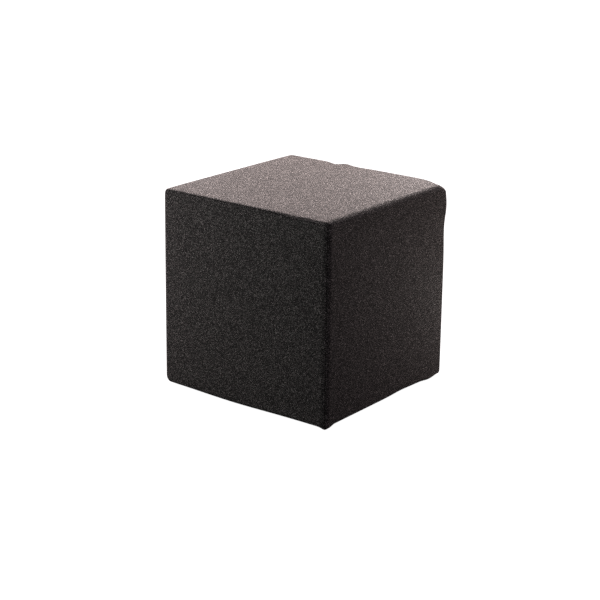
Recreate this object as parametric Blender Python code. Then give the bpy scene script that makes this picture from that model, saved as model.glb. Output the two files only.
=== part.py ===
"""Cube pouf stool, upholstered in woven cloth over firm padding.

The cover is cut as four pieces of cloth. One long strip, the wrap, goes up the left side, over the
top and down the right side, so the two top edges beside it are soft folds. A square panel closes the
front and another the back, each sewn to the wrap all round in a plain seam that lies in a groove.
A flat panel closes the underside, a little in from the hem, and the pouf rests on it.

Frame: metres, +Z up, floor at z = 0, origin under the middle of the pouf. The front panel faces -Y.
"""

import math

import bmesh
import bpy
from mathutils import Vector

# Overall sizes
WIDTH = 0.4514  # across the two sides of the wrap, along X
DEPTH = 0.4434  # from front panel to back panel, along Y
BODY_HEIGHT = 0.4451  # from the hem to the top edges
HEM_HEIGHT = 0.0065  # the hem stands this far off the floor
GAP = 0.0003  # between pieces that touch

# Folds of the wrap, seen from the front: radius of each long edge
RIGHT_FOLD = 0.0135
LEFT_FOLD = 0.015
RIGHT_HEM_FOLD = 0.010
LEFT_HEM_FOLD = 0.017
LEAST_FOLD = 0.003

# Rolled edges beside the end seams: radius, and how far round the wrap turns to meet its seam
TOP_ROLL = {"radius": 0.007, "seam": math.radians(54)}
SIDE_ROLL = {"radius": 0.014, "seam": math.radians(45)}
HEM_ROLL = {"radius": 0.009, "seam": math.radians(45)}
SEAM_OPENING = 0.07  # share of the way from the seam to the flat, left open between the two cloths
SEAM_FLOOR = 0.68  # where the groove between them ends, as a share of the roll's radius
PANEL_THICKNESS = 0.014  # an end panel with the padding behind it

# How the padding fills the cover: how far the middle of each face stands proud of its edges
TOP_CROWN = 0.004
SIDE_CROWN = 0.003
END_CROWN = 0.004
CROWN_POWER = 4  # firm padding: flat in the middle, falling away near the edges
BULGE_DEPTH = 0.011  # depth behind an end face where its fullness is gone
TAPER = 0.0061  # share by which the top is narrower than the hem

# Mesh density: steps round each fold, along each straight run, and extra places where cloth is uneven
RIGHT_FOLD_STEPS = 6
LEFT_FOLD_STEPS = 5
HEM_FOLD_STEPS = 4
TOP_STEPS = 12
SIDE_STEPS = 22
HEM_STEPS = 9
ROLL_STEPS = 5
BODY_STEPS = 14
NEAR_ENDS = (0.12, 0.30, 0.60)  # of a step, from either end of the hem
NEAR_PUCKERS = (-1.6, -0.8, 0.0, 0.8, 1.6)  # spreads either side of a pucker's middle
LEAST_STEP = 0.003  # nearer places along the top are left out
SHARP_ANGLE = math.radians(40)
PANEL_INSETS = (0.018, 0.045, 0.080, 0.120, 0.165)  # rings of an end panel, in from its edge

# The seam groove between the two rolls: share of the roll's radius, and its half width there
SEAM_GROOVE = (
    {"fill": 0.955, "half_width": 0.00035},
    {"fill": 0.870, "half_width": 0.00022},
    {"fill": 0.780, "half_width": 0.00016},
)

# Hem sags: which side, where along it from its middle, how far it hangs, how wide the sag is
HEM_SAGS = (
    {"side": "front", "along": -0.030, "drop": 0.0035, "spread": 0.085},
    {"side": "right", "along": 0.175, "drop": 0.0044, "spread": 0.018},
    {"side": "right", "along": 0.063, "drop": -0.0019, "spread": 0.028},
    {"side": "back", "along": 0.040, "drop": 0.0025, "spread": 0.075},
    {"side": "left", "along": -0.020, "drop": 0.0020, "spread": 0.080},
)
SAG_FULL = 0.010  # depth behind the face where a sag starts to fade
SAG_END = 0.022  # depth behind the face where a sag is gone
SAG_RISE = 0.070  # height above the hem that the sag draws down

# Bottom corners, where the end seam turns under and its cloth bunches: where, and how far it hangs
CORNER_TUCKS = (
    {"x": 0.2225, "y": -0.2065, "drop": 0.0044, "spread": 0.014},
    {"x": -0.225, "y": -0.221, "drop": 0.0005, "spread": 0.014},
    {"x": 0.225, "y": 0.221, "drop": 0.0010, "spread": 0.014},
    {"x": -0.225, "y": 0.221, "drop": 0.0020, "spread": 0.014},
)
TUCK_RISE = 0.030  # height above the hem that a tuck draws down

# Puckers of the back seam along the top edge: where across, how far up, how wide
PUCKERS = (
    {"across": -0.083, "rise": -0.0038, "spread": 0.010},
    {"across": -0.052, "rise": 0.0026, "spread": 0.009},
    {"across": -0.010, "rise": -0.0009, "spread": 0.014},
)
PUCKER_REACH = 0.022  # how far forward of the back seam a pucker is felt

# The front seam drops below the top edge near its right corner
DIP_START = 0.070  # across the front, where the drop starts
DIP_FULL = 0.135
DIP_DROP = 0.0048
DIP_DEPTH = 0.011  # depth behind the front face where the dip is gone
DIP_REACH = 0.034  # height below the top edge where the dip is gone

# The back right corner of the cover: an ear below the top, a waist under it, a sunken tip above it
EAR_DROP = 0.0537  # below the top edge
EAR_OUT = Vector((0.0038, 0.0030, 0.0))
EAR_HEIGHT = 0.021
WAIST_DROP = 0.088
WAIST_IN = Vector((0.0019, 0.0027, 0.0))
WAIST_HEIGHT = 0.039
TIP_SINK = 0.0123
TIP_REACH = 0.0255
TIP_BACK = 0.0284  # distance forward of the corner where the tip stops sinking
TIP_DEPTH = 0.030  # height below the top edge that the sunken tip draws down
CORNER_WIDTH = 0.050  # how far from the corner these are felt

# Base panel
BASE_MARGIN = 0.024  # from the faces to the edge of the base panel
BASE_CORNER = 0.018
BASE_CORNER_STEPS = 5
BASE_RIM = 0.0015
BASE_RIM_STEPS = 2

CLOTH_COLOUR = (0.045, 0.040, 0.039)
BASE_COLOUR = (0.016, 0.015, 0.015)

HALF_WIDTH = WIDTH / 2
HALF_DEPTH = DEPTH / 2
UNDERSIDE = HEM_HEIGHT
TOP = HEM_HEIGHT + BODY_HEIGHT


def fade(value, start, end):
    """1 before start, 0 after end, smooth between."""
    share = min(1.0, max(0.0, (value - start) / (end - start)))
    return 1.0 - share * share * (3.0 - 2.0 * share)


def bell(offset, spread):
    """A smooth hump, 1 in its middle."""
    return math.exp(-0.5 * (offset / spread) ** 2)


# --- The outline of the pouf seen from the front ---


def straight(start, end, shares):
    """Points between two corners of the outline, at the given shares of the way."""
    return [start.lerp(end, share) for share in shares]


def even(steps):
    return [step / steps for step in range(1, steps)]


def graded(steps):
    """Even steps, with closer ones near both ends."""
    near_end = [share / steps for share in NEAR_ENDS]
    return sorted(near_end + even(steps) + [1 - share for share in near_end])


def top_shares():
    """Even steps from right to left across the top, with extra ones where its seams are uneven."""
    run = WIDTH - RIGHT_FOLD - LEFT_FOLD
    places = [DIP_START, (DIP_START + DIP_FULL) / 2, DIP_FULL]
    for pucker in PUCKERS:
        places += [pucker["across"] + away * pucker["spread"] for away in NEAR_PUCKERS]
    shares = [(HALF_WIDTH - RIGHT_FOLD - place) / run for place in places]
    for share in even(TOP_STEPS):
        if min(abs(share - other) for other in shares) > LEAST_STEP / run:
            shares.append(share)
    return sorted(shares)


def outline(side_inset, top_inset, hem_inset):
    """The closed outline at these insets, as (point, normal) pairs, from the right hem corner up."""
    right = HALF_WIDTH - side_inset
    top = TOP - top_inset
    hem = UNDERSIDE + hem_inset
    corners = (
        (1, -1, RIGHT_HEM_FOLD, HEM_FOLD_STEPS, -90, even(SIDE_STEPS)),
        (1, 1, RIGHT_FOLD, RIGHT_FOLD_STEPS, 0, top_shares()),
        (-1, 1, LEFT_FOLD, LEFT_FOLD_STEPS, 90, even(SIDE_STEPS)),
        (-1, -1, LEFT_HEM_FOLD, HEM_FOLD_STEPS, 180, graded(HEM_STEPS)),
    )
    arcs = []
    for x_sign, z_sign, fold, steps, start_angle, shares in corners:
        end_inset = top_inset if z_sign > 0 else hem_inset
        radius = max(LEAST_FOLD, fold - (side_inset + end_inset) / 2)
        centre_x = x_sign * (right - radius)
        centre_z = top - radius if z_sign > 0 else hem + radius
        arc = []
        for step in range(steps + 1):
            angle = math.radians(start_angle + 90 * step / steps)
            normal = Vector((math.cos(angle), 0.0, math.sin(angle)))
            arc.append((Vector((centre_x, 0.0, centre_z)) + normal * radius, normal))
        arcs.append((arc, shares))
    points = []
    for index, (arc, shares) in enumerate(arcs):
        next_arc = arcs[(index + 1) % len(arcs)][0]
        points += arc
        last_point, last_normal = arc[-1]
        run = straight(last_point, next_arc[0][0], shares)
        points += [(point, last_normal) for point in run]
    return points


def roll_at(roll, turn, fill):
    """How far behind the face and in from the side a roll is, from the wrap (-1) to the panel (1)."""
    radius, seam = roll["radius"], roll["seam"]
    angle = seam * (1 + turn) if turn < 0 else seam + (math.pi / 2 - seam) * turn
    return radius * (1 - fill * math.sin(angle)), radius * (1 - fill * math.cos(angle))


# --- The unevenness of filled cloth ---


def settle(point):
    """Where a point of the plain box lies in the filled, slightly uneven cover."""
    u = point.x / HALF_WIDTH
    v = point.y / HALF_DEPTH
    height = (point.z - UNDERSIDE) / BODY_HEIGHT
    w = 2 * height - 1
    across = 1 - abs(u) ** CROWN_POWER
    along = 1 - abs(v) ** CROWN_POWER
    upright = 1 - abs(w) ** CROWN_POWER
    settled = point.copy()
    settled.x += SIDE_CROWN * u**3 * along * upright
    settled.z += TOP_CROWN * max(0.0, height) ** 3 * across * along
    end_depth = HALF_DEPTH - abs(point.y)
    end_bulge = END_CROWN * across * upright * fade(end_depth, 0.0, BULGE_DEPTH)
    settled.y += math.copysign(end_bulge, point.y)
    settled += hem_sag(point) + corner_tuck(point) + back_pucker(point)
    settled += front_dip(point) + back_right_corner(point)
    settled.x *= 1 - TAPER * height
    settled.y *= 1 - TAPER * height
    return settled


def hem_sag(point):
    """How far the hem hangs here."""
    behind_face = {
        "front": (point.y + HALF_DEPTH, point.x),
        "back": (HALF_DEPTH - point.y, point.x),
        "right": (HALF_WIDTH - point.x, point.y),
        "left": (point.x + HALF_WIDTH, point.y),
    }
    drop = 0.0
    for sag in HEM_SAGS:
        depth, along = behind_face[sag["side"]]
        reach = bell(along - sag["along"], sag["spread"]) * fade(depth, SAG_FULL, SAG_END)
        drop += sag["drop"] * reach
    return Vector((0.0, 0.0, -drop * fade(point.z - UNDERSIDE, 0.0, SAG_RISE)))


def corner_tuck(point):
    """How far the bunched cloth of a bottom corner hangs here."""
    drop = 0.0
    for tuck in CORNER_TUCKS:
        away = math.hypot(point.x - tuck["x"], point.y - tuck["y"])
        drop += tuck["drop"] * math.exp(-((away / tuck["spread"]) ** 4))
    return Vector((0.0, 0.0, -drop * fade(point.z - UNDERSIDE, 0.0, TUCK_RISE)))


def back_pucker(point):
    """The back seam's small dips and humps along the top edge."""
    near_seam = fade(HALF_DEPTH - point.y, 0.0, PUCKER_REACH) * fade(TOP - point.z, 0.0, PUCKER_REACH)
    rise = sum(p["rise"] * bell(point.x - p["across"], p["spread"]) for p in PUCKERS)
    return Vector((0.0, 0.0, rise * near_seam))


def front_dip(point):
    """How far the front seam drops below the top edge near its right corner."""
    near_seam = fade(point.y + HALF_DEPTH, 0.0, DIP_DEPTH) * fade(TOP - point.z, 0.0, DIP_REACH)
    drop = DIP_DROP * (1 - fade(point.x, DIP_START, DIP_FULL))
    return Vector((0.0, 0.0, -drop * near_seam))


def back_right_corner(point):
    """The ear, the waist and the sunken tip of the back right corner."""
    offset = point - Vector((HALF_WIDTH, HALF_DEPTH, TOP))
    sideways = math.hypot(offset.x, offset.y)
    ear = bell(offset.z + EAR_DROP, EAR_HEIGHT)
    waist = bell(offset.z + WAIST_DROP, WAIST_HEIGHT)
    shift = (EAR_OUT * ear - WAIST_IN * waist) * bell(sideways, CORNER_WIDTH)
    shift.y *= fade(-offset.y, 0.0, BULGE_DEPTH)
    tip = bell(offset.x, TIP_REACH) * fade(-offset.y, 0.0, TIP_BACK)
    shift.z = -TIP_SINK * tip * fade(-offset.z, 0.0, TIP_DEPTH)
    return shift


# --- Rings of points, and solids skinned over them ---


def ring(end, turn, fill=1.0, further_in=0.0, further_back=0.0, depth=None):
    """The outline near one end (-1 front, 1 back), this far round its rolled edge."""
    top_depth, top_inset = roll_at(TOP_ROLL, turn, fill)
    side_depth, side_inset = roll_at(SIDE_ROLL, turn, fill)
    hem_depth, hem_inset = roll_at(HEM_ROLL, turn, fill)
    points = []
    for point, normal in outline(side_inset + further_in, top_inset + further_in, hem_inset + further_in):
        end_depth = top_depth if normal.z > 0 else hem_depth
        behind = side_depth * normal.x**2 + end_depth * normal.z**2 + further_back
        if depth is not None:
            behind = depth
        points.append(settle(Vector((point.x, end * (HALF_DEPTH - behind), point.z))))
    return points


def add_rings(bm, rings):
    """The vertices of rings of points."""
    return [[bm.verts.new(point) for point in points] for points in rings]


def skin(bm, loops):
    """Faces between loops of vertices that follow each other, split the same way all round."""
    count = len(loops[0])
    for inner, outer in zip(loops, loops[1:]):
        for i in range(count):
            j = (i + 1) % count
            bm.faces.new((inner[i], inner[j], outer[j]))
            bm.faces.new((inner[i], outer[j], outer[i]))


def roll_turns():
    """Turns round a rolled edge, from where it goes into the seam out to the flat of the face."""
    return [SEAM_OPENING + (1 - SEAM_OPENING) * step / ROLL_STEPS for step in range(ROLL_STEPS + 1)]


def wrap_end(end):
    """The wrap's rings at one end, from the bottom of its recess out to where its roll begins."""
    recess = PANEL_THICKNESS + GAP
    rings = [ring(end, 0, SEAM_FLOOR, -GAP / 2, depth=recess)]
    rings.append(ring(end, 0, SEAM_FLOOR, -GAP / 2))
    for groove in reversed(SEAM_GROOVE):
        half = groove["half_width"]
        rings.append(ring(end, 0, groove["fill"], -half, half))
    rings += [ring(end, -turn) for turn in roll_turns()]
    return rings


def make_body_wrap():
    """The long strip over the top and both sides, with the padding that it holds."""
    bm = bmesh.new()
    front = add_rings(bm, wrap_end(-1))
    back = add_rings(bm, wrap_end(1))
    reach = HALF_DEPTH - SAG_END
    depths = [HALF_DEPTH + reach * (2 * step / BODY_STEPS - 1) for step in range(BODY_STEPS + 1)]
    middle = [ring(-1, -1, depth=depth) for depth in depths]
    skin(bm, front)
    skin(bm, [front[-1], *add_rings(bm, middle), back[-1]])
    skin(bm, back)
    bm.faces.new(front[0])
    bm.faces.new(back[0])
    return finish(bm, "body_wrap", cloth)


def make_end_panel(name, end):
    """A square end panel: flat behind, rolled at its rim and full in the middle."""
    bm = bmesh.new()
    rings = [ring(end, 0, SEAM_FLOOR, GAP / 2, depth=PANEL_THICKNESS)]
    rings.append(ring(end, 0, SEAM_FLOOR, GAP / 2))
    for groove in reversed(SEAM_GROOVE):
        half = groove["half_width"]
        rings.append(ring(end, 0, groove["fill"], half, -half))
    rings += [ring(end, turn) for turn in roll_turns()]
    rings += [ring(end, 1, further_in=inset) for inset in PANEL_INSETS]
    loops = add_rings(bm, rings)
    skin(bm, loops)
    bm.faces.new(loops[0])
    centre = bm.verts.new(settle(Vector((0.0, end * HALF_DEPTH, (TOP + UNDERSIDE) / 2))))
    last = loops[-1]
    for i, vertex in enumerate(last):
        bm.faces.new((vertex, last[(i + 1) % len(last)], centre))
    return finish(bm, name, cloth)


def make_base_panel():
    """The flat panel under the pouf."""
    bm = bmesh.new()
    bmesh.ops.create_cube(bm, size=1.0)
    thickness = UNDERSIDE - GAP
    size = Vector((WIDTH - 2 * BASE_MARGIN, DEPTH - 2 * BASE_MARGIN, thickness))
    for vertex in bm.verts:
        vertex.co = vertex.co * size + Vector((0.0, 0.0, thickness / 2))
    upright = [e for e in bm.edges if abs(e.verts[0].co.z - e.verts[1].co.z) > thickness / 2]
    corners = {"offset": BASE_CORNER, "segments": BASE_CORNER_STEPS}
    bmesh.ops.bevel(bm, geom=upright, profile=0.5, affect="EDGES", **corners)
    rim = [e for e in bm.edges if all(v.co.z < thickness / 2 for v in e.verts)]
    edge = {"offset": BASE_RIM, "segments": BASE_RIM_STEPS}
    bmesh.ops.bevel(bm, geom=rim, profile=0.5, affect="EDGES", **edge)
    return finish(bm, "base_panel", base_cloth)


# --- Objects and materials ---


def material(name, colour, roughness):
    made = bpy.data.materials.new(name)
    made.use_nodes = True
    shader = made.node_tree.nodes["Principled BSDF"]
    shader.inputs["Base Color"].default_value = (*colour, 1.0)
    shader.inputs["Roughness"].default_value = roughness
    shader.inputs["Metallic"].default_value = 0.0
    return made


def finish(bm, name, look):
    """Turns a bmesh into a named, smooth-shaded object."""
    bmesh.ops.recalc_face_normals(bm, faces=bm.faces)
    mesh = bpy.data.meshes.new(name)
    bm.to_mesh(mesh)
    bm.free()
    mesh.materials.append(look)
    mesh.shade_smooth()
    mesh.set_sharp_from_angle(angle=SHARP_ANGLE)
    made = bpy.data.objects.new(name, mesh)
    bpy.context.scene.collection.objects.link(made)
    return made


for old in list(bpy.data.objects):
    bpy.data.objects.remove(old)

cloth = material("melange_cloth", CLOTH_COLOUR, 0.95)
base_cloth = material("base_cloth", BASE_COLOUR, 0.9)

make_body_wrap()
make_end_panel("front_panel", -1)
make_end_panel("back_panel", 1)
make_base_panel()
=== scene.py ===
"""The look of the cube pouf stool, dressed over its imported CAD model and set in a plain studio."""

import math

import bmesh
import bpy
import numpy as np
from mathutils import Matrix, Vector


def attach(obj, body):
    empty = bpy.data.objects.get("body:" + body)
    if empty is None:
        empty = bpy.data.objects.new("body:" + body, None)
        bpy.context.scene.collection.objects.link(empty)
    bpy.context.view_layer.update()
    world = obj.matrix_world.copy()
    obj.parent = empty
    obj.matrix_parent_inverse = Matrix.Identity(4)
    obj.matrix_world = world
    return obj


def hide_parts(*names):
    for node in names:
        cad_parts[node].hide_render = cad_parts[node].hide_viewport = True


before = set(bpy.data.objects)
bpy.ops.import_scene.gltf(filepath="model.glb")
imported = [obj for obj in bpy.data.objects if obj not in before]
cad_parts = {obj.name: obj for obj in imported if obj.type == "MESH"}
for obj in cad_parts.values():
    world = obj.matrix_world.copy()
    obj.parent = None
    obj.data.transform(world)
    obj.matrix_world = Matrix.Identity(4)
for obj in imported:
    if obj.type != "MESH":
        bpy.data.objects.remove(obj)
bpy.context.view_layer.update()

scene = bpy.context.scene


# ---------------------------------------------------------------------------------------------
# Camera. It stands in front of the pouf's front right corner, a little above the seat, with a
# long lens, so that the front panel, the right side and the top all show.
# ---------------------------------------------------------------------------------------------

CAMERA_PLACE = Vector((2.0505, -2.6761, 1.2819))
CAMERA_TURN = math.radians(37.663)
CAMERA_TILT = math.radians(17.962)
CAMERA_ROLL = math.radians(0.700)
SENSOR_WIDTH = 36.0  # millimetres, as is the focal length
FOCAL_LENGTH = 95.39

back = Vector(
    (
        math.sin(CAMERA_TURN) * math.cos(CAMERA_TILT),
        -math.cos(CAMERA_TURN) * math.cos(CAMERA_TILT),
        math.sin(CAMERA_TILT),
    )
)
level_right = Vector((math.cos(CAMERA_TURN), math.sin(CAMERA_TURN), 0.0))
level_up = back.cross(level_right)
right = level_right * math.cos(CAMERA_ROLL) + level_up * math.sin(CAMERA_ROLL)
up = level_up * math.cos(CAMERA_ROLL) - level_right * math.sin(CAMERA_ROLL)

lens = bpy.data.cameras.new("studio_camera")
lens.sensor_width = SENSOR_WIDTH
lens.lens = FOCAL_LENGTH
lens.clip_start = 0.1
lens.clip_end = 100.0
camera = bpy.data.objects.new("studio_camera", lens)
scene.collection.objects.link(camera)
turned = Matrix((right, up, back)).transposed().to_4x4()
camera.matrix_world = Matrix.Translation(CAMERA_PLACE) @ turned
scene.camera = camera


# ---------------------------------------------------------------------------------------------
# Wrap. One long strip of melange wool cloth goes up the left side, over the top and down the
# right side, pulled over firm foam. Its two long edges roll over and turn down into the end
# seams, and its ends turn under at the hem, where they are fixed to the base.
# ---------------------------------------------------------------------------------------------

# The cover's outside before the padding's crown, and how high its hem lies over the floor.
WIDTH = 0.4514
DEPTH = 0.4434
BODY_HEIGHT = 0.4451
UNDERSIDE = 0.0065
TOP = UNDERSIDE + BODY_HEIGHT
HALF_WIDTH = WIDTH / 2
HALF_DEPTH = DEPTH / 2
GAP = 0.0003  # between pieces that touch

# Radius of each fold of the wrap, and the least that is left of it further in.
RIGHT_FOLD = 0.0135
LEFT_FOLD = 0.015
RIGHT_HEM_FOLD = 0.010
LEFT_HEM_FOLD = 0.017
LEAST_FOLD = 0.003

# Each rolled edge: its radius, how far round it the wrap turns to meet its seam, and the share of
# the way from the seam to the flat that is left open between the two cloths.
TOP_ROLL = (0.007, math.radians(54), 0.16)
SIDE_ROLL = (0.014, math.radians(45), 0.05)
HEM_ROLL = (0.009, math.radians(45), 0.07)
# The groove between them, from near its floor out to its mouth: where, as a share of the roll's
# radius, and half its width there.
SEAM_GROOVE = ((0.78, 0.00016), (0.87, 0.00022), (0.955, 0.00035))
SEAM_FLOOR = 0.68  # where the groove ends, as a share of the roll's radius
PANEL_THICKNESS = 0.014  # of an end panel's cloth with the padding just behind it

# How far the padding fills each face out, how flat the fill is in the middle, how far behind an
# end face it is felt, and how much narrower the top is than the hem, as a share.
TOP_CROWN = 0.004
SIDE_CROWN = 0.003
END_CROWN = 0.004
CROWN_POWER = 4
BULGE_DEPTH = 0.011
TAPER = 0.0061

# Where the hem hangs lower or higher: how far along which side, by how much and how widely. A sag
# is felt in full just behind the face, and dies away further in and further up.
HEM_SAGS = (
    {"side": "front", "along": -0.030, "drop": 0.0035, "spread": 0.085},
    {"side": "right", "along": 0.175, "drop": 0.0044, "spread": 0.018},
    {"side": "right", "along": 0.063, "drop": -0.0019, "spread": 0.028},
    {"side": "back", "along": 0.040, "drop": 0.0025, "spread": 0.075},
    {"side": "left", "along": -0.020, "drop": 0.0020, "spread": 0.080},
)
SAG_FULL = 0.010
SAG_END = 0.022
SAG_RISE = 0.070

# The cloth bunched under each hem corner.
CORNER_TUCKS = (
    {"x": 0.2225, "y": -0.2065, "drop": 0.0044, "spread": 0.014},
    {"x": -0.225, "y": -0.221, "drop": 0.0005, "spread": 0.014},
    {"x": 0.225, "y": 0.221, "drop": 0.0010, "spread": 0.014},
    {"x": -0.225, "y": 0.221, "drop": 0.0020, "spread": 0.014},
)
TUCK_RISE = 0.030

# The back seam's dips and humps: how far across the top edge, how high and how wide.
PUCKERS = (
    {"across": -0.083, "rise": -0.0038, "spread": 0.010},
    {"across": -0.052, "rise": 0.0026, "spread": 0.009},
    {"across": -0.010, "rise": -0.0009, "spread": 0.014},
)
PUCKER_REACH = 0.022

DIP_START = 0.070  # across the front, where the seam starts to drop towards its right corner
DIP_FULL = 0.135  # and where it has dropped in full
DIP_DROP = 0.0048
DIP_DEPTH = 0.011  # how far behind the front face the dip is felt
DIP_REACH = 0.034  # how far below the top edge the dip is felt

# At the back right corner the cloth bulges out in an ear, is drawn in to a waist below it, and
# sinks at the tip. The drops are below the top, and the shifts along x, y and z.
EAR_DROP = 0.0537
EAR_OUT = (0.0038, 0.0030, 0.0)
EAR_HEIGHT = 0.021
WAIST_DROP = 0.088
WAIST_IN = (0.0019, 0.0027, 0.0)
WAIST_HEIGHT = 0.039
TIP_SINK = 0.0123
TIP_REACH = 0.0255
TIP_DEPTH = 0.030
TIP_BACK = 0.0284
CORNER_WIDTH = 0.050

# Steps round each fold and along each run. From the middle of one corner fold to the middle of
# the next, opposite sides have as many steps, so that an end panel's face is one even grid.
HEM_FOLD_STEPS = 8
RIGHT_FOLD_STEPS = 14
LEFT_FOLD_STEPS = 10
RIGHT_STEPS = 50
TOP_STEPS = 50
LEFT_STEPS = 52
HEM_STEPS = 54
ROLL_STEPS = 6
BODY_STEPS = 58
SHARP_ANGLE = math.radians(50)  # only the hidden ends of the cloth turn more sharply


def fade(value, start, end):
    """1 before start, 0 after end, smooth between."""
    share = np.clip((value - start) / (end - start), 0.0, 1.0)
    return 1.0 - share * share * (3.0 - 2.0 * share)


def bell(offset, spread):
    """A smooth hump, 1 in its middle."""
    return np.exp(-0.5 * (offset / spread) ** 2)


def outline(side_inset, top_inset, hem_inset):
    """The cover's outline seen from the front, from the right hem corner up: points and normals."""
    side = HALF_WIDTH - side_inset
    top = TOP - top_inset
    hem = UNDERSIDE + hem_inset
    # Each fold: its side and its end in signs, radius, steps and start angle, and the steps along
    # the run after it.
    corners = (
        (1, -1, RIGHT_HEM_FOLD, HEM_FOLD_STEPS, -90, RIGHT_STEPS),
        (1, 1, RIGHT_FOLD, RIGHT_FOLD_STEPS, 0, TOP_STEPS),
        (-1, 1, LEFT_FOLD, LEFT_FOLD_STEPS, 90, LEFT_STEPS),
        (-1, -1, LEFT_HEM_FOLD, HEM_FOLD_STEPS, 180, HEM_STEPS),
    )
    arcs = []
    for x_sign, z_sign, fold, steps, start_angle, run_steps in corners:
        end_inset = top_inset if z_sign > 0 else hem_inset
        radius = max(LEAST_FOLD, fold - (side_inset + end_inset) / 2)
        middle_height = top - radius if z_sign > 0 else hem + radius
        middle = np.array([x_sign * (side - radius), 0.0, middle_height])
        angles = np.radians(start_angle + 90 * np.arange(steps + 1) / steps)
        normals = np.stack([np.cos(angles), np.zeros(steps + 1), np.sin(angles)], 1)
        arcs.append((middle + radius * normals, normals, run_steps))
    points, normals = [], []
    for index, (arc, arc_normals, run_steps) in enumerate(arcs):
        following = arcs[(index + 1) % 4][0][0]
        shares = np.arange(1, run_steps)[:, None] / run_steps
        points += [arc, arc[-1] * (1 - shares) + following * shares]
        normals += [arc_normals, np.repeat(arc_normals[-1:], run_steps - 1, 0)]
    return np.concatenate(points), np.concatenate(normals)


def hem_drop(points):
    """How far the hem hangs here."""
    x, y, z = points.T
    behind_face = {
        "front": (y + HALF_DEPTH, x),
        "back": (HALF_DEPTH - y, x),
        "right": (HALF_WIDTH - x, y),
        "left": (x + HALF_WIDTH, y),
    }
    sagging = 0.0
    for sag in HEM_SAGS:
        depth, along = behind_face[sag["side"]]
        reach = bell(along - sag["along"], sag["spread"]) * fade(depth, SAG_FULL, SAG_END)
        sagging = sagging + sag["drop"] * reach
    bunched = 0.0
    for tuck in CORNER_TUCKS:
        away = np.hypot(x - tuck["x"], y - tuck["y"])
        bunched = bunched + tuck["drop"] * np.exp(-((away / tuck["spread"]) ** 4))
    above = z - UNDERSIDE
    return sagging * fade(above, 0.0, SAG_RISE) + bunched * fade(above, 0.0, TUCK_RISE)


def seam_rise(points):
    """The back seam's small dips and humps along the top edge."""
    x, y, z = points.T
    near_seam = fade(HALF_DEPTH - y, 0.0, PUCKER_REACH) * fade(TOP - z, 0.0, PUCKER_REACH)
    return near_seam * sum(p["rise"] * bell(x - p["across"], p["spread"]) for p in PUCKERS)


def front_dip(points):
    """How far the front seam drops below the top edge near its right corner."""
    x, y, z = points.T
    near_seam = fade(y + HALF_DEPTH, 0.0, DIP_DEPTH) * fade(TOP - z, 0.0, DIP_REACH)
    return DIP_DROP * (1 - fade(x, DIP_START, DIP_FULL)) * near_seam


def back_right_corner(points):
    """The ear, the waist and the sunken tip of the back right corner."""
    x, y, z = (points - (HALF_WIDTH, HALF_DEPTH, TOP)).T
    sideways = np.hypot(x, y)
    ear = bell(z + EAR_DROP, EAR_HEIGHT) * bell(sideways, CORNER_WIDTH)
    waist = bell(z + WAIST_DROP, WAIST_HEIGHT) * bell(sideways, CORNER_WIDTH)
    shift = ear[:, None] * EAR_OUT - waist[:, None] * WAIST_IN
    shift[:, 1] *= fade(-y, 0.0, BULGE_DEPTH)
    near_tip = bell(x, TIP_REACH) * fade(-y, 0.0, TIP_BACK) * fade(-z, 0.0, TIP_DEPTH)
    shift[:, 2] = -TIP_SINK * near_tip
    return shift


def settle(points):
    """Where points of the plain box lie in the filled, slightly uneven cover."""
    x, y, z = points.T
    u, v = x / HALF_WIDTH, y / HALF_DEPTH
    height = (z - UNDERSIDE) / BODY_HEIGHT
    across = 1 - np.abs(u) ** CROWN_POWER
    along = 1 - np.abs(v) ** CROWN_POWER
    upright = 1 - np.abs(2 * height - 1) ** CROWN_POWER
    end_depth = HALF_DEPTH - np.abs(y)
    settled = points + back_right_corner(points)
    settled[:, 0] += SIDE_CROWN * u**3 * along * upright
    settled[:, 1] += np.sign(y) * END_CROWN * across * upright * fade(end_depth, 0.0, BULGE_DEPTH)
    settled[:, 2] += TOP_CROWN * np.maximum(0.0, height) ** 3 * across * along
    settled[:, 2] += seam_rise(points) - front_dip(points) - hem_drop(points)
    settled[:, :2] *= (1 - TAPER * height)[:, None]
    return settled


def roll_at(roll, side, turn, fill):
    """How far behind the face and in from the side a roll is at a turn and a share of its radius.

    side is -1 on the wrap, 1 on the panel and 0 at the seam between them.
    """
    radius, seam, opening = roll
    arc = seam if side < 0 else math.pi / 2 - seam
    angle = seam + side * arc * (opening + (1 - opening) * turn)
    return radius * (1 - fill * math.sin(angle)), radius * (1 - fill * math.cos(angle))


def ring(end, side, turn=0.0, fill=1.0, further_in=0.0, further_back=0.0, depth=None):
    """The outline near one end (-1 front, 1 back), this far round its rolled edge from the seam."""
    top_depth, top_inset = roll_at(TOP_ROLL, side, turn, fill)
    side_depth, side_inset = roll_at(SIDE_ROLL, side, turn, fill)
    hem_depth, hem_inset = roll_at(HEM_ROLL, side, turn, fill)
    points, normals = outline(side_inset + further_in, top_inset + further_in, hem_inset + further_in)
    end_depth = np.where(normals[:, 2] > 0, top_depth, hem_depth)
    behind = side_depth * normals[:, 0] ** 2 + end_depth * normals[:, 2] ** 2 + further_back
    points[:, 1] = end * (HALF_DEPTH - (behind if depth is None else depth))
    return settle(points)


def roll_turns():
    """Turns round a rolled edge, from where it goes into the seam out to the flat of the face."""
    return [step / ROLL_STEPS for step in range(ROLL_STEPS + 1)]


def length_along(rings):
    """How far along the cloth each ring lies from the first one, point by point."""
    steps = np.linalg.norm(np.diff(rings, axis=0), axis=2)
    return np.concatenate([np.zeros((1, rings.shape[1])), np.cumsum(steps, 0)])


def length_round(points):
    """How far along the outline each point lies from the first one, and the whole way round."""
    steps = np.linalg.norm(np.roll(points, -1, 0) - points, axis=1)
    return np.concatenate([[0.0], np.cumsum(steps)])


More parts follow.
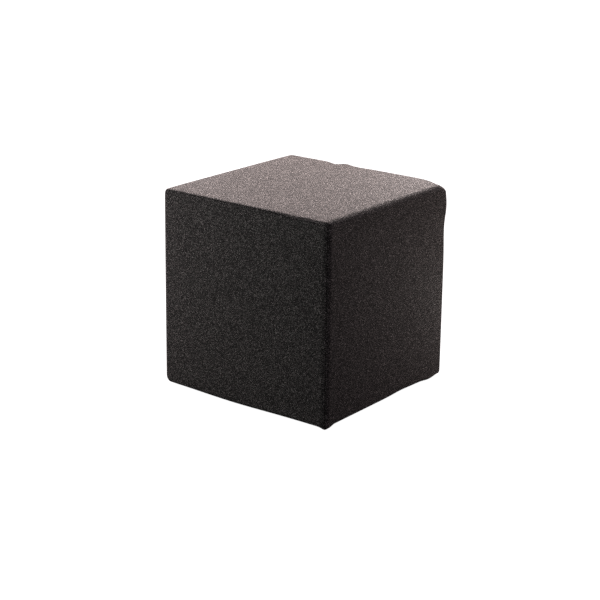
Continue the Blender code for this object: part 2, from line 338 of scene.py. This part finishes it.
def sewn_mesh(name, points, faces, threads):
    """A closed mesh with its cloth map: where each face corner lies on the cloth, in metres."""
    mesh = bpy.data.meshes.new(name)
    mesh.from_pydata(points.tolist(), [], faces)
    mesh.uv_layers.new(name="cloth")
    mesh.uv_layers["cloth"].data.foreach_set("uv", np.concatenate(threads).ravel())
    mesh.shade_smooth()
    made = bpy.data.objects.new(name, mesh)
    scene.collection.objects.link(made)
    return made


def finish_mesh(piece):
    """Rounds the cloth between its points, closes the hidden ends, and turns all faces outwards."""
    bpy.ops.object.select_all(action="DESELECT")
    piece.select_set(True)
    bpy.context.view_layer.objects.active = piece
    rounded = piece.modifiers.new("rounded", "SUBSURF")
    rounded.levels = rounded.render_levels = 1
    bpy.ops.object.modifier_apply(modifier=rounded.name)
    cloth = bmesh.new()
    cloth.from_mesh(piece.data)
    bmesh.ops.holes_fill(cloth, edges=[edge for edge in cloth.edges if edge.is_boundary], sides=0)
    bmesh.ops.recalc_face_normals(cloth, faces=cloth.faces)
    cloth.to_mesh(piece.data)
    cloth.free()
    piece.data.shade_smooth()
    piece.data.set_sharp_from_angle(angle=SHARP_ANGLE)


def wrap_rings():
    """The wrap's rings, from behind the front seam over its rolled edge, on to behind the back seam."""
    recess = PANEL_THICKNESS + GAP
    ends = {}
    for end in (-1, 1):
        rings = [ring(end, 0, 0, SEAM_FLOOR, -GAP / 2, depth=recess)]
        rings.append(ring(end, 0, 0, SEAM_FLOOR, -GAP / 2))
        rings += [ring(end, 0, 0, fill, -half, half) for fill, half in SEAM_GROOVE]
        rings += [ring(end, -1, turn) for turn in roll_turns()]
        ends[end] = rings
    reach = HALF_DEPTH - SAG_END
    depths = [HALF_DEPTH + reach * (2 * step / BODY_STEPS - 1) for step in range(BODY_STEPS + 1)]
    middle = [ring(-1, -1, 1, depth=depth) for depth in depths]
    return np.array(ends[-1] + middle + ends[1][::-1])


def panel_rings(end):
    """An end panel's rings, from the back of its rim, out of the seam and round to its flat face."""
    rings = [ring(end, 0, 0, SEAM_FLOOR, GAP / 2, depth=PANEL_THICKNESS)]
    rings.append(ring(end, 0, 0, SEAM_FLOOR, GAP / 2))
    rings += [ring(end, 0, 0, fill, half, -half) for fill, half in SEAM_GROOVE]
    rings += [ring(end, 1, turn) for turn in roll_turns()]
    return np.array(rings)


def make_wrap():
    """The wrap's skin. Its cloth map runs round the outline one way, and from front to back the other."""
    rings = wrap_rings()
    rows, count = rings.shape[:2]
    from_front = length_along(rings)
    halfway = from_front[rows // 2]
    round_way = length_round(outline(0.0, 0.0, 0.0)[0])
    faces, threads = [], []
    for row in range(rows - 1):
        for i in range(count):
            j = (i + 1) % count
            corners = ((row, i, i), (row, j, i + 1), (row + 1, j, i + 1), (row + 1, i, i))
            faces.append(tuple(r * count + c for r, c, along in corners))
            threads.append([(round_way[along], from_front[r, c] - halfway[c]) for r, c, along in corners])
    return sewn_mesh("wrap", rings.reshape(-1, 3), faces, [np.array(t) for t in threads])


wrap = make_wrap()
finish_mesh(wrap)


def add_node(tree, kind, settings=None, **inputs):
    """A node with its settings, and with values or other nodes' sockets on its inputs.

    An input goes by its name, or as i0, i1 and so on by its number.
    """
    node = tree.nodes.new(kind)
    for key, value in (settings or {}).items():
        setattr(node, key, value)
    for key, value in inputs.items():
        numbered = key[0] == "i" and key[1:].isdigit()
        socket = node.inputs[int(key[1:]) if numbered else key.replace("_", " ")]
        if isinstance(value, bpy.types.NodeSocket):
            tree.links.new(value, socket)
        else:
            socket.default_value = value
    return node


def work_out(tree, operation, *values):
    """A Math node's result."""
    inputs = {f"i{index}": value for index, value in enumerate(values)}
    return add_node(tree, "ShaderNodeMath", {"operation": operation}, **inputs).outputs[0]


# The weave's own numbers. Its lengths are in threads.
WANDER_RATE = 0.045  # how often the threads wander
WANDER_REACH = 5.0  # how far they wander
FLOAT_ENDS = 0.4  # the power that squares off the ends of each thread's float
WARP_SEED = 3.7
WEFT_SEED = 91.3
MOST_SLIDE = 50.0  # how far a yarn's pattern may be slid along it
FLECK_STEP = 7.31  # how far apart neighbouring yarns lie in the noise of the flecks
STREAK_STEP = 3.17  # and in the noise of the streaks
STREAK_LENGTH = 60.0
BLOT_RATES = (0.16, 0.45, 1.0)  # how often groups of threads change, along the warp and across
FLECK_EDGE = 0.11  # how softly a yarn passes from dark wool to light
HOLLOW_PAINTED_SHADE = 0.62  # painted shade: how light the colour is left in the hollows between the threads
CREST_PAINTED_LIGHT = 0.45  # and how much lighter a thread's crest is painted


def make_melange_weave():
    """Plain weave of melange yarn: its colour and its relief, from a place on the cloth in metres."""
    tree = bpy.data.node_groups.new("melange_weave", "ShaderNodeTree")
    sockets = (
        ("Cloth", "NodeSocketVector", None),
        ("Thread spacing", "NodeSocketFloat", 0.0014),
        ("Fleck length", "NodeSocketFloat", 2.2),
        ("Dark wool", "NodeSocketColor", (0.01, 0.01, 0.01, 1.0)),
        ("Light wool", "NodeSocketColor", (0.1, 0.1, 0.1, 1.0)),
        ("Light share", "NodeSocketFloat", 0.4),
        ("Streaks", "NodeSocketFloat", 0.1),
        ("Mottling", "NodeSocketFloat", 0.1),
    )
    for name, kind, value in sockets:
        socket = tree.interface.new_socket(name, in_out="INPUT", socket_type=kind)
        if value is not None:
            socket.default_value = value
    outputs = (
        ("Colour", "NodeSocketColor"),
        ("Relief", "NodeSocketFloat"),
        ("Light part", "NodeSocketFloat"),
    )
    for name, kind in outputs:
        tree.interface.new_socket(name, in_out="OUTPUT", socket_type=kind)
    given = tree.nodes.new("NodeGroupInput").outputs
    place = add_node(tree, "ShaderNodeVectorMath", {"operation": "SCALE"}, Vector=given["Cloth"])
    per_thread = work_out(tree, "DIVIDE", 1.0, given["Thread spacing"])
    tree.links.new(per_thread, place.inputs["Scale"])

    # The threads wander a little, so they never lie in perfect rows.
    wander = add_node(
        tree,
        "ShaderNodeTexNoise",
        {"noise_dimensions": "2D"},
        Vector=place.outputs[0],
        Scale=WANDER_RATE,
        Detail=2.0,
        Roughness=0.5,
    )
    drift = add_node(
        tree,
        "ShaderNodeVectorMath",
        {"operation": "MULTIPLY_ADD"},
        i0=wander.outputs["Color"],
        i1=(WANDER_REACH, WANDER_REACH, 0.0),
        i2=place.outputs[0],
    )
    split = add_node(tree, "ShaderNodeSeparateXYZ", Vector=drift.outputs[0])
    u, v = split.outputs["X"], split.outputs["Y"]

    # Each thread is half a wave across, and every other crossing has the warp on top.
    sine_u = work_out(tree, "SINE", work_out(tree, "MULTIPLY", u, math.pi))
    sine_v = work_out(tree, "SINE", work_out(tree, "MULTIPLY", v, math.pi))
    size_u = work_out(tree, "ABSOLUTE", sine_u)
    size_v = work_out(tree, "ABSOLUTE", sine_v)
    warp_up = work_out(tree, "GREATER_THAN", work_out(tree, "MULTIPLY", sine_u, sine_v), 0.0)
    warp_relief = work_out(tree, "MULTIPLY", size_v, work_out(tree, "POWER", size_u, FLOAT_ENDS))
    weft_relief = work_out(tree, "MULTIPLY", size_u, work_out(tree, "POWER", size_v, FLOAT_ENDS))
    relief = add_node(
        tree, "ShaderNodeMix", {"data_type": "FLOAT"}, i0=warp_up, i2=weft_relief, i3=warp_relief
    ).outputs[0]

    # Each yarn is spun from dark and light wool, so its shade changes every few threads along it.
    whole_u = work_out(tree, "FLOOR", u)
    whole_v = work_out(tree, "FLOOR", v)
    shades = []
    streaks = []
    for along, thread, seed in ((u, whole_v, WARP_SEED), (v, whole_u, WEFT_SEED)):
        own = work_out(tree, "ADD", thread, seed)
        start = add_node(tree, "ShaderNodeTexWhiteNoise", {"noise_dimensions": "1D"}, W=own)
        slid = work_out(tree, "MULTIPLY_ADD", start.outputs["Value"], MOST_SLIDE, along)
        stretch = work_out(tree, "DIVIDE", slid, given["Fleck length"])
        apart = work_out(tree, "MULTIPLY", thread, FLECK_STEP)
        at = add_node(tree, "ShaderNodeCombineXYZ", X=stretch, Y=apart, Z=seed)
        noise = add_node(
            tree,
            "ShaderNodeTexNoise",
            {"noise_dimensions": "3D"},
            Vector=at.outputs[0],
            Scale=1.0,
            Detail=1.5,
            Roughness=0.6,
        )
        shades.append(noise.outputs["Fac"])
        slow = work_out(tree, "DIVIDE", slid, STREAK_LENGTH)
        apart = work_out(tree, "MULTIPLY", thread, STREAK_STEP)
        at = add_node(tree, "ShaderNodeCombineXYZ", X=slow, Y=apart, Z=seed)
        noise = add_node(
            tree,
            "ShaderNodeTexNoise",
            {"noise_dimensions": "3D"},
            Vector=at.outputs[0],
            Scale=1.0,
            Detail=0.0,
        )
        streaks.append(noise.outputs["Fac"])
    shade = add_node(
        tree, "ShaderNodeMix", {"data_type": "FLOAT"}, i0=warp_up, i2=shades[1], i3=shades[0]
    ).outputs[0]
    streak = add_node(
        tree, "ShaderNodeMix", {"data_type": "FLOAT"}, i0=warp_up, i2=streaks[1], i3=streaks[0]
    ).outputs[0]
    edge = work_out(tree, "SUBTRACT", 1.0, given["Light share"])
    light = add_node(
        tree,
        "ShaderNodeMapRange",
        {"interpolation_type": "SMOOTHSTEP"},
        Value=shade,
        From_Min=work_out(tree, "SUBTRACT", edge, FLECK_EDGE),
        From_Max=work_out(tree, "ADD", edge, FLECK_EDGE),
    )
    wool = add_node(
        tree,
        "ShaderNodeMix",
        {"data_type": "RGBA"},
        i0=light.outputs[0],
        i6=given["Dark wool"],
        i7=given["Light wool"],
    )

    # Groups of darker and lighter threads lie side by side, longer along the warp.
    long_way = add_node(
        tree, "ShaderNodeVectorMath", {"operation": "MULTIPLY"}, i0=place.outputs[0], i1=BLOT_RATES
    )
    blots = add_node(
        tree,
        "ShaderNodeTexNoise",
        {"noise_dimensions": "2D"},
        Vector=long_way.outputs[0],
        Scale=1.0,
        Detail=2.0,
        Roughness=0.6,
    )
    blot = work_out(tree, "SUBTRACT", blots.outputs["Fac"], 0.5)
    blot = work_out(tree, "MULTIPLY", blot, given["Mottling"])

    # Slow streaks along the threads, and shadow in the little hollows between them.
    slow = work_out(tree, "MULTIPLY_ADD", work_out(tree, "SUBTRACT", streak, 0.5), given["Streaks"], 1.0)
    slow = work_out(tree, "ADD", slow, blot)
    # Painted shade: the colour is darkened in the hollows between threads and lightened on their crests,
    # following the relief.
    painted_hollow_shade = work_out(tree, "MULTIPLY_ADD", relief, CREST_PAINTED_LIGHT, HOLLOW_PAINTED_SHADE)
    toned = add_node(
        tree,
        "ShaderNodeVectorMath",
        {"operation": "SCALE"},
        i0=wool.outputs[2],
        Scale=work_out(tree, "MULTIPLY", slow, painted_hollow_shade),
    )
    out = tree.nodes.new("NodeGroupOutput")
    tree.links.new(toned.outputs[0], out.inputs["Colour"])
    tree.links.new(relief, out.inputs["Relief"])
    tree.links.new(light.outputs[0], out.inputs["Light part"])
    return tree


melange_weave = make_melange_weave()

FIBRE_ROUGHNESS = 0.65  # of the soft gloss that the light fibres show at a low angle
FIBRE_SPECULAR = 0.02  # the wool under that gloss has next to no shine of its own


def make_cloth(name, values, relief_height, roughness, fibre_gloss, sheen, sheen_roughness, sheen_tint):
    """A woven cloth with its own yarn values, lying along each piece's cloth map.

    fibre_gloss is how strong the soft gloss is on dark wool, and how much stronger on light wool.
    """
    cloth = bpy.data.materials.new(name)
    cloth.use_nodes = True
    tree = cloth.node_tree
    shader = tree.nodes["Principled BSDF"]
    map_node = add_node(tree, "ShaderNodeUVMap", {"uv_map": "cloth"})
    weave = add_node(tree, "ShaderNodeGroup", {"node_tree": melange_weave})
    tree.links.new(map_node.outputs["UV"], weave.inputs["Cloth"])
    for key, value in values.items():
        weave.inputs[key].default_value = value
    bump = add_node(
        tree, "ShaderNodeBump", Height=weave.outputs["Relief"], Distance=relief_height, Strength=1.0
    )
    tree.links.new(weave.outputs["Colour"], shader.inputs["Base Color"])
    tree.links.new(bump.outputs["Normal"], shader.inputs["Normal"])
    least, more = fibre_gloss
    gloss = work_out(tree, "MULTIPLY_ADD", weave.outputs["Light part"], more, least)
    tree.links.new(gloss, shader.inputs["Coat Weight"])
    shader.inputs["Coat Roughness"].default_value = FIBRE_ROUGHNESS
    shader.inputs["Roughness"].default_value = roughness
    shader.inputs["Specular IOR Level"].default_value = FIBRE_SPECULAR
    shader.inputs["Sheen Weight"].default_value = sheen
    shader.inputs["Sheen Roughness"].default_value = sheen_roughness
    shader.inputs["Sheen Tint"].default_value = sheen_tint
    return cloth


melange_wool = make_cloth(
    "melange_wool",
    {
        "Thread spacing": 0.0012,
        "Fleck length": 1.4,
        "Dark wool": (0.0085, 0.0075, 0.0071, 1.0),
        "Light wool": (0.190, 0.167, 0.160, 1.0),
        "Light share": 0.37,
        "Streaks": 0.25,
        "Mottling": 0.25,
    },
    relief_height=0.00030,
    roughness=0.92,
    fibre_gloss=(0.08, 0.64),
    sheen=0.03,
    sheen_roughness=0.45,
    sheen_tint=(1.0, 0.95, 0.92, 1.0),
)

wrap.data.materials.append(melange_wool)
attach(wrap, "root")
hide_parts("body_wrap")


# ---------------------------------------------------------------------------------------------
# Front and back panels. Two squares of the same cloth close the ends of the wrap, each sewn in
# all round with a plain seam and filled out a little by the foam behind it.
# ---------------------------------------------------------------------------------------------

# Steps of the face's grid between the middles of the folds at its corners.
ACROSS = TOP_STEPS + (RIGHT_FOLD_STEPS + LEFT_FOLD_STEPS) // 2
UPRIGHT = RIGHT_STEPS + (RIGHT_FOLD_STEPS + HEM_FOLD_STEPS) // 2


def face_grid():
    """Which point of the outline each point on the rim of an end panel's grid is, and -1 inside."""
    count = 2 * (ACROSS + UPRIGHT)
    start = count - HEM_STEPS - HEM_FOLD_STEPS // 2
    way_round = (start + np.arange(count + 1)) % count
    grid = np.full((UPRIGHT + 1, ACROSS + 1), -1)
    grid[0] = way_round[: ACROSS + 1]
    grid[:, -1] = way_round[ACROSS : ACROSS + UPRIGHT + 1]
    grid[-1] = way_round[ACROSS + UPRIGHT : 2 * ACROSS + UPRIGHT + 1][::-1]
    grid[:, 0] = way_round[2 * ACROSS + UPRIGHT :][::-1]
    return grid


def fill_in(rim):
    """A grid of points between four rims, from the points at the rims of the same grid."""
    s = np.linspace(0, 1, ACROSS + 1)[None, :, None]
    t = np.linspace(0, 1, UPRIGHT + 1)[:, None, None]
    upwards = (1 - t) * rim[:1] + t * rim[-1:]
    sideways = (1 - s) * rim[:, :1] + s * rim[:, -1:]
    first = (1 - s) * rim[0, 0] + s * rim[0, -1]
    last = (1 - s) * rim[-1, 0] + s * rim[-1, -1]
    return upwards + sideways - ((1 - t) * first + t * last)


def make_end_panel(name, end):
    """An end panel's skin: the rings of its rolled rim, and an even grid over the rest of its face."""
    rings = panel_rings(end)
    rows, count = rings.shape[:2]
    flat_rim, normals = outline(SIDE_ROLL[0], TOP_ROLL[0], HEM_ROLL[0])
    flat_rim[:, 1] = end * HALF_DEPTH
    to_flat = length_along(rings)
    to_flat = to_flat[-1] - to_flat
    places = flat_rim[None, :, [0, 2]] + normals[None, :, [0, 2]] * to_flat[:, :, None]
    faces, threads = [], []
    for row in range(rows - 1):
        for i in range(count):
            j = (i + 1) % count
            corners = ((row, i), (row, j), (row + 1, j), (row + 1, i))
            faces.append(tuple(r * count + c for r, c in corners))
            threads.append([places[r, c] for r, c in corners])
    grid = face_grid()
    flat = fill_in(np.where(grid[:, :, None] < 0, 0.0, flat_rim[grid]))
    inside = grid < 0
    index = grid + (rows - 1) * count
    index[inside] = rows * count + np.arange(inside.sum())
    for up in range(UPRIGHT):
        for side in range(ACROSS):
            corners = ((up, side), (up, side + 1), (up + 1, side + 1), (up + 1, side))
            faces.append(tuple(int(index[c]) for c in corners))
            threads.append([flat[c][[0, 2]] for c in corners])
    points = np.concatenate([rings.reshape(-1, 3), settle(flat[inside])])
    return sewn_mesh(name, points, faces, [np.array(t) for t in threads])


for name, end, node in (("front_end", -1, "front_panel"), ("back_end", 1, "back_panel")):
    end_panel = make_end_panel(name, end)
    finish_mesh(end_panel)
    end_panel.data.materials.append(melange_wool)
    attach(end_panel, "root")
    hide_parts(node)


# ---------------------------------------------------------------------------------------------
# Base panel. A thin stiff board covered in plain black lining cloth closes the underside, a
# little in from the hem. It is fixed up into the base, and the pouf rests on it.
# ---------------------------------------------------------------------------------------------

BASE_MARGIN = 0.024  # how far in from the cover's sides
BASE_CORNER = 0.018
BASE_CORNER_STEPS = 8
BASE_RIM = 0.0015
BASE_RIM_STEPS = 3
BASE_THICKNESS = UNDERSIDE - GAP
BASE_SMOOTH_ANGLE = math.radians(40)

bpy.ops.object.select_all(action="DESELECT")
bpy.ops.mesh.primitive_cube_add(size=1.0, location=(0.0, 0.0, BASE_THICKNESS / 2))
base = bpy.context.active_object
base.name = base.data.name = "base_lining"
base.scale = (WIDTH - 2 * BASE_MARGIN, DEPTH - 2 * BASE_MARGIN, BASE_THICKNESS)
bpy.ops.object.transform_apply(location=True, rotation=True, scale=True)


def select_edges(piece, wanted):
    """In edit mode, selects the edges whose two ends are as wanted."""
    bpy.ops.object.mode_set(mode="EDIT")
    bpy.ops.mesh.select_mode(type="EDGE")
    bpy.ops.mesh.select_all(action="DESELECT")
    bpy.ops.object.mode_set(mode="OBJECT")
    points = [v.co.copy() for v in piece.data.vertices]
    for edge in piece.data.edges:
        edge.select = wanted(*(points[v] for v in edge.vertices))
    bpy.ops.object.mode_set(mode="EDIT")


select_edges(base, lambda a, b: abs(a.z - b.z) > BASE_THICKNESS / 2)
bpy.ops.mesh.bevel(offset=BASE_CORNER, segments=BASE_CORNER_STEPS, affect="EDGES")
select_edges(base, lambda a, b: max(a.z, b.z) < BASE_THICKNESS / 2)
bpy.ops.mesh.bevel(offset=BASE_RIM, segments=BASE_RIM_STEPS, affect="EDGES")
bpy.ops.object.mode_set(mode="OBJECT")

mesh = base.data
mesh.uv_layers.active.name = "cloth"
base_map = mesh.uv_layers["cloth"].data
for loop in mesh.loops:
    place = mesh.vertices[loop.vertex_index].co
    base_map[loop.index].uv = (place.x, place.y)
bpy.ops.object.shade_smooth_by_angle(angle=BASE_SMOOTH_ANGLE)

lining_cloth = make_cloth(
    "base_lining_cloth",
    {
        "Thread spacing": 0.0008,
        "Fleck length": 3.0,
        "Dark wool": (0.008, 0.0078, 0.0078, 1.0),
        "Light wool": (0.022, 0.021, 0.021, 1.0),
        "Light share": 0.5,
        "Streaks": 0.2,
        "Mottling": 0.3,
    },
    relief_height=0.0001,
    roughness=0.9,
    fibre_gloss=(0.0, 0.1),
    sheen=0.1,
    sheen_roughness=0.4,
    sheen_tint=(1.0, 1.0, 1.0, 1.0),
)
base.data.materials.append(lining_cloth)
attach(base, "root")
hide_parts("base_panel")


# ---------------------------------------------------------------------------------------------
# Studio. The pouf stands on a wide sheet of white paper in an evenly lit white room. Two large
# soft lights behind it and to its left graze the top, a smaller one hangs over its back edge, and
# weak ones stand low round its left, front and right back.
# ---------------------------------------------------------------------------------------------

FLOOR_SIZE = 60.0
FLOOR_CUTS = 3
LARGE_BOX = (1.6, 1.6)
SMALL_BOX = (0.4, 0.6)
LIGHTS_AIM = Vector((0.0, 0.0, 0.25))  # the pouf's middle, about which the lights stand

# Lights that stand round the pouf: turn and height in degrees, distance, size, watts and tint.
ROUND_LIGHTS = (
    ("key_softbox", -115, 30, 4.0, LARGE_BOX, 498.0, (1.0, 0.89, 0.88)),
    ("back_softbox", -142, 35, 4.0, LARGE_BOX, 168.0, (1.0, 0.80, 0.74)),
    ("front_softbox", -20, 12, 1.6, (0.6, 0.9), 7.2, (0.76, 1.0, 0.88)),
    ("left_softbox", -60, 8, 0.95, SMALL_BOX, 5.5, (1.0, 0.87, 0.90)),
    ("right_softbox", 140, 2, 0.95, SMALL_BOX, 2.4, (1.0, 0.80, 0.76)),
    ("right_back_softbox", 160, 8, 0.95, SMALL_BOX, 0.7, (1.0, 1.0, 0.80)),
)

# Lights near its back: place, the point that they face, size, watts and tint.
NEAR_LIGHTS = (
    ("low_softbox", (0.36, 0.56, 0.09), (0.225, 0.20, 0.09), (0.2, 0.14), 0.80, (1.0, 0.97, 0.92)),
    ("top_softbox", (-0.03, 0.69, 0.84), (0.06, 0.15, 0.45), (0.4, 0.4), 15.2, (1.0, 0.91, 0.89)),
)

bpy.ops.object.select_all(action="DESELECT")
bpy.ops.mesh.primitive_plane_add(size=FLOOR_SIZE, location=(0.0, 0.0, 0.0))
floor = bpy.context.active_object
floor.name = floor.data.name = "studio_floor"
bpy.ops.object.mode_set(mode="EDIT")
bpy.ops.mesh.subdivide(number_cuts=FLOOR_CUTS)
bpy.ops.object.mode_set(mode="OBJECT")

# The camera sees the paper glow white under a soft shadow. To the light it is a dull grey.
paper = bpy.data.materials.new("white_paper")
paper.use_nodes = True
tree = paper.node_tree
tree.nodes.clear()
white = add_node(tree, "ShaderNodeEmission", Color=(1.0, 1.0, 1.0, 1.0), Strength=1.0)
shaded = add_node(tree, "ShaderNodeBsdfDiffuse", Color=(0.07, 0.07, 0.07, 1.0))
seen = add_node(tree, "ShaderNodeAddShader", i0=white.outputs[0], i1=shaded.outputs[0])
unseen = add_node(tree, "ShaderNodeBsdfDiffuse", Color=(0.10, 0.10, 0.10, 1.0))
path = add_node(tree, "ShaderNodeLightPath")
mixed = add_node(
    tree,
    "ShaderNodeMixShader",
    i0=path.outputs["Is Camera Ray"],
    i1=unseen.outputs[0],
    i2=seen.outputs[0],
)
add_node(tree, "ShaderNodeOutputMaterial", Surface=mixed.outputs[0])
floor.data.materials.append(paper)


def add_softbox(name, place, aim, size, watts, tint):
    """A rectangular soft light at a place, aimed at a point."""
    light = bpy.data.lights.new(name, "AREA")
    light.shape = "RECTANGLE"
    light.size, light.size_y = size
    light.energy = watts
    light.color = tint
    made = bpy.data.objects.new(name, light)
    scene.collection.objects.link(made)
    place = Vector(place)
    facing = (Vector(aim) - place).to_track_quat("-Z", "Y").to_matrix().to_4x4()
    made.matrix_world = Matrix.Translation(place) @ facing
    return made


def add_round(name, turn, height, distance, size, watts, tint):
    """A soft light round the pouf, turned from the front panel towards the right side, in degrees."""
    turn, height = math.radians(turn), math.radians(height)
    level = math.cos(height)
    away = Vector((math.sin(turn) * level, -math.cos(turn) * level, math.sin(height)))
    return add_softbox(name, LIGHTS_AIM + away * distance, LIGHTS_AIM, size, watts, tint)


for round_light in ROUND_LIGHTS:
    add_round(*round_light)
for near_light in NEAR_LIGHTS:
    add_softbox(*near_light)

# The room adds an even light from all sides, and the camera sees it as white.
room = bpy.data.worlds.new("studio_room")
room.use_nodes = True
tree = room.node_tree
tree.nodes.clear()
fill = add_node(tree, "ShaderNodeBackground", Color=(0.93, 0.85, 0.95, 1.0), Strength=0.58)
backdrop = add_node(tree, "ShaderNodeBackground", Color=(1.0, 1.0, 1.0, 1.0), Strength=1.0)
path = add_node(tree, "ShaderNodeLightPath")
mixed = add_node(
    tree,
    "ShaderNodeMixShader",
    i0=path.outputs["Is Camera Ray"],
    i1=fill.outputs[0],
    i2=backdrop.outputs[0],
)
add_node(tree, "ShaderNodeOutputWorld", Surface=mixed.outputs[0])
scene.world = room
scene.view_settings.view_transform = "Standard"
scene.cycles.use_denoising = False
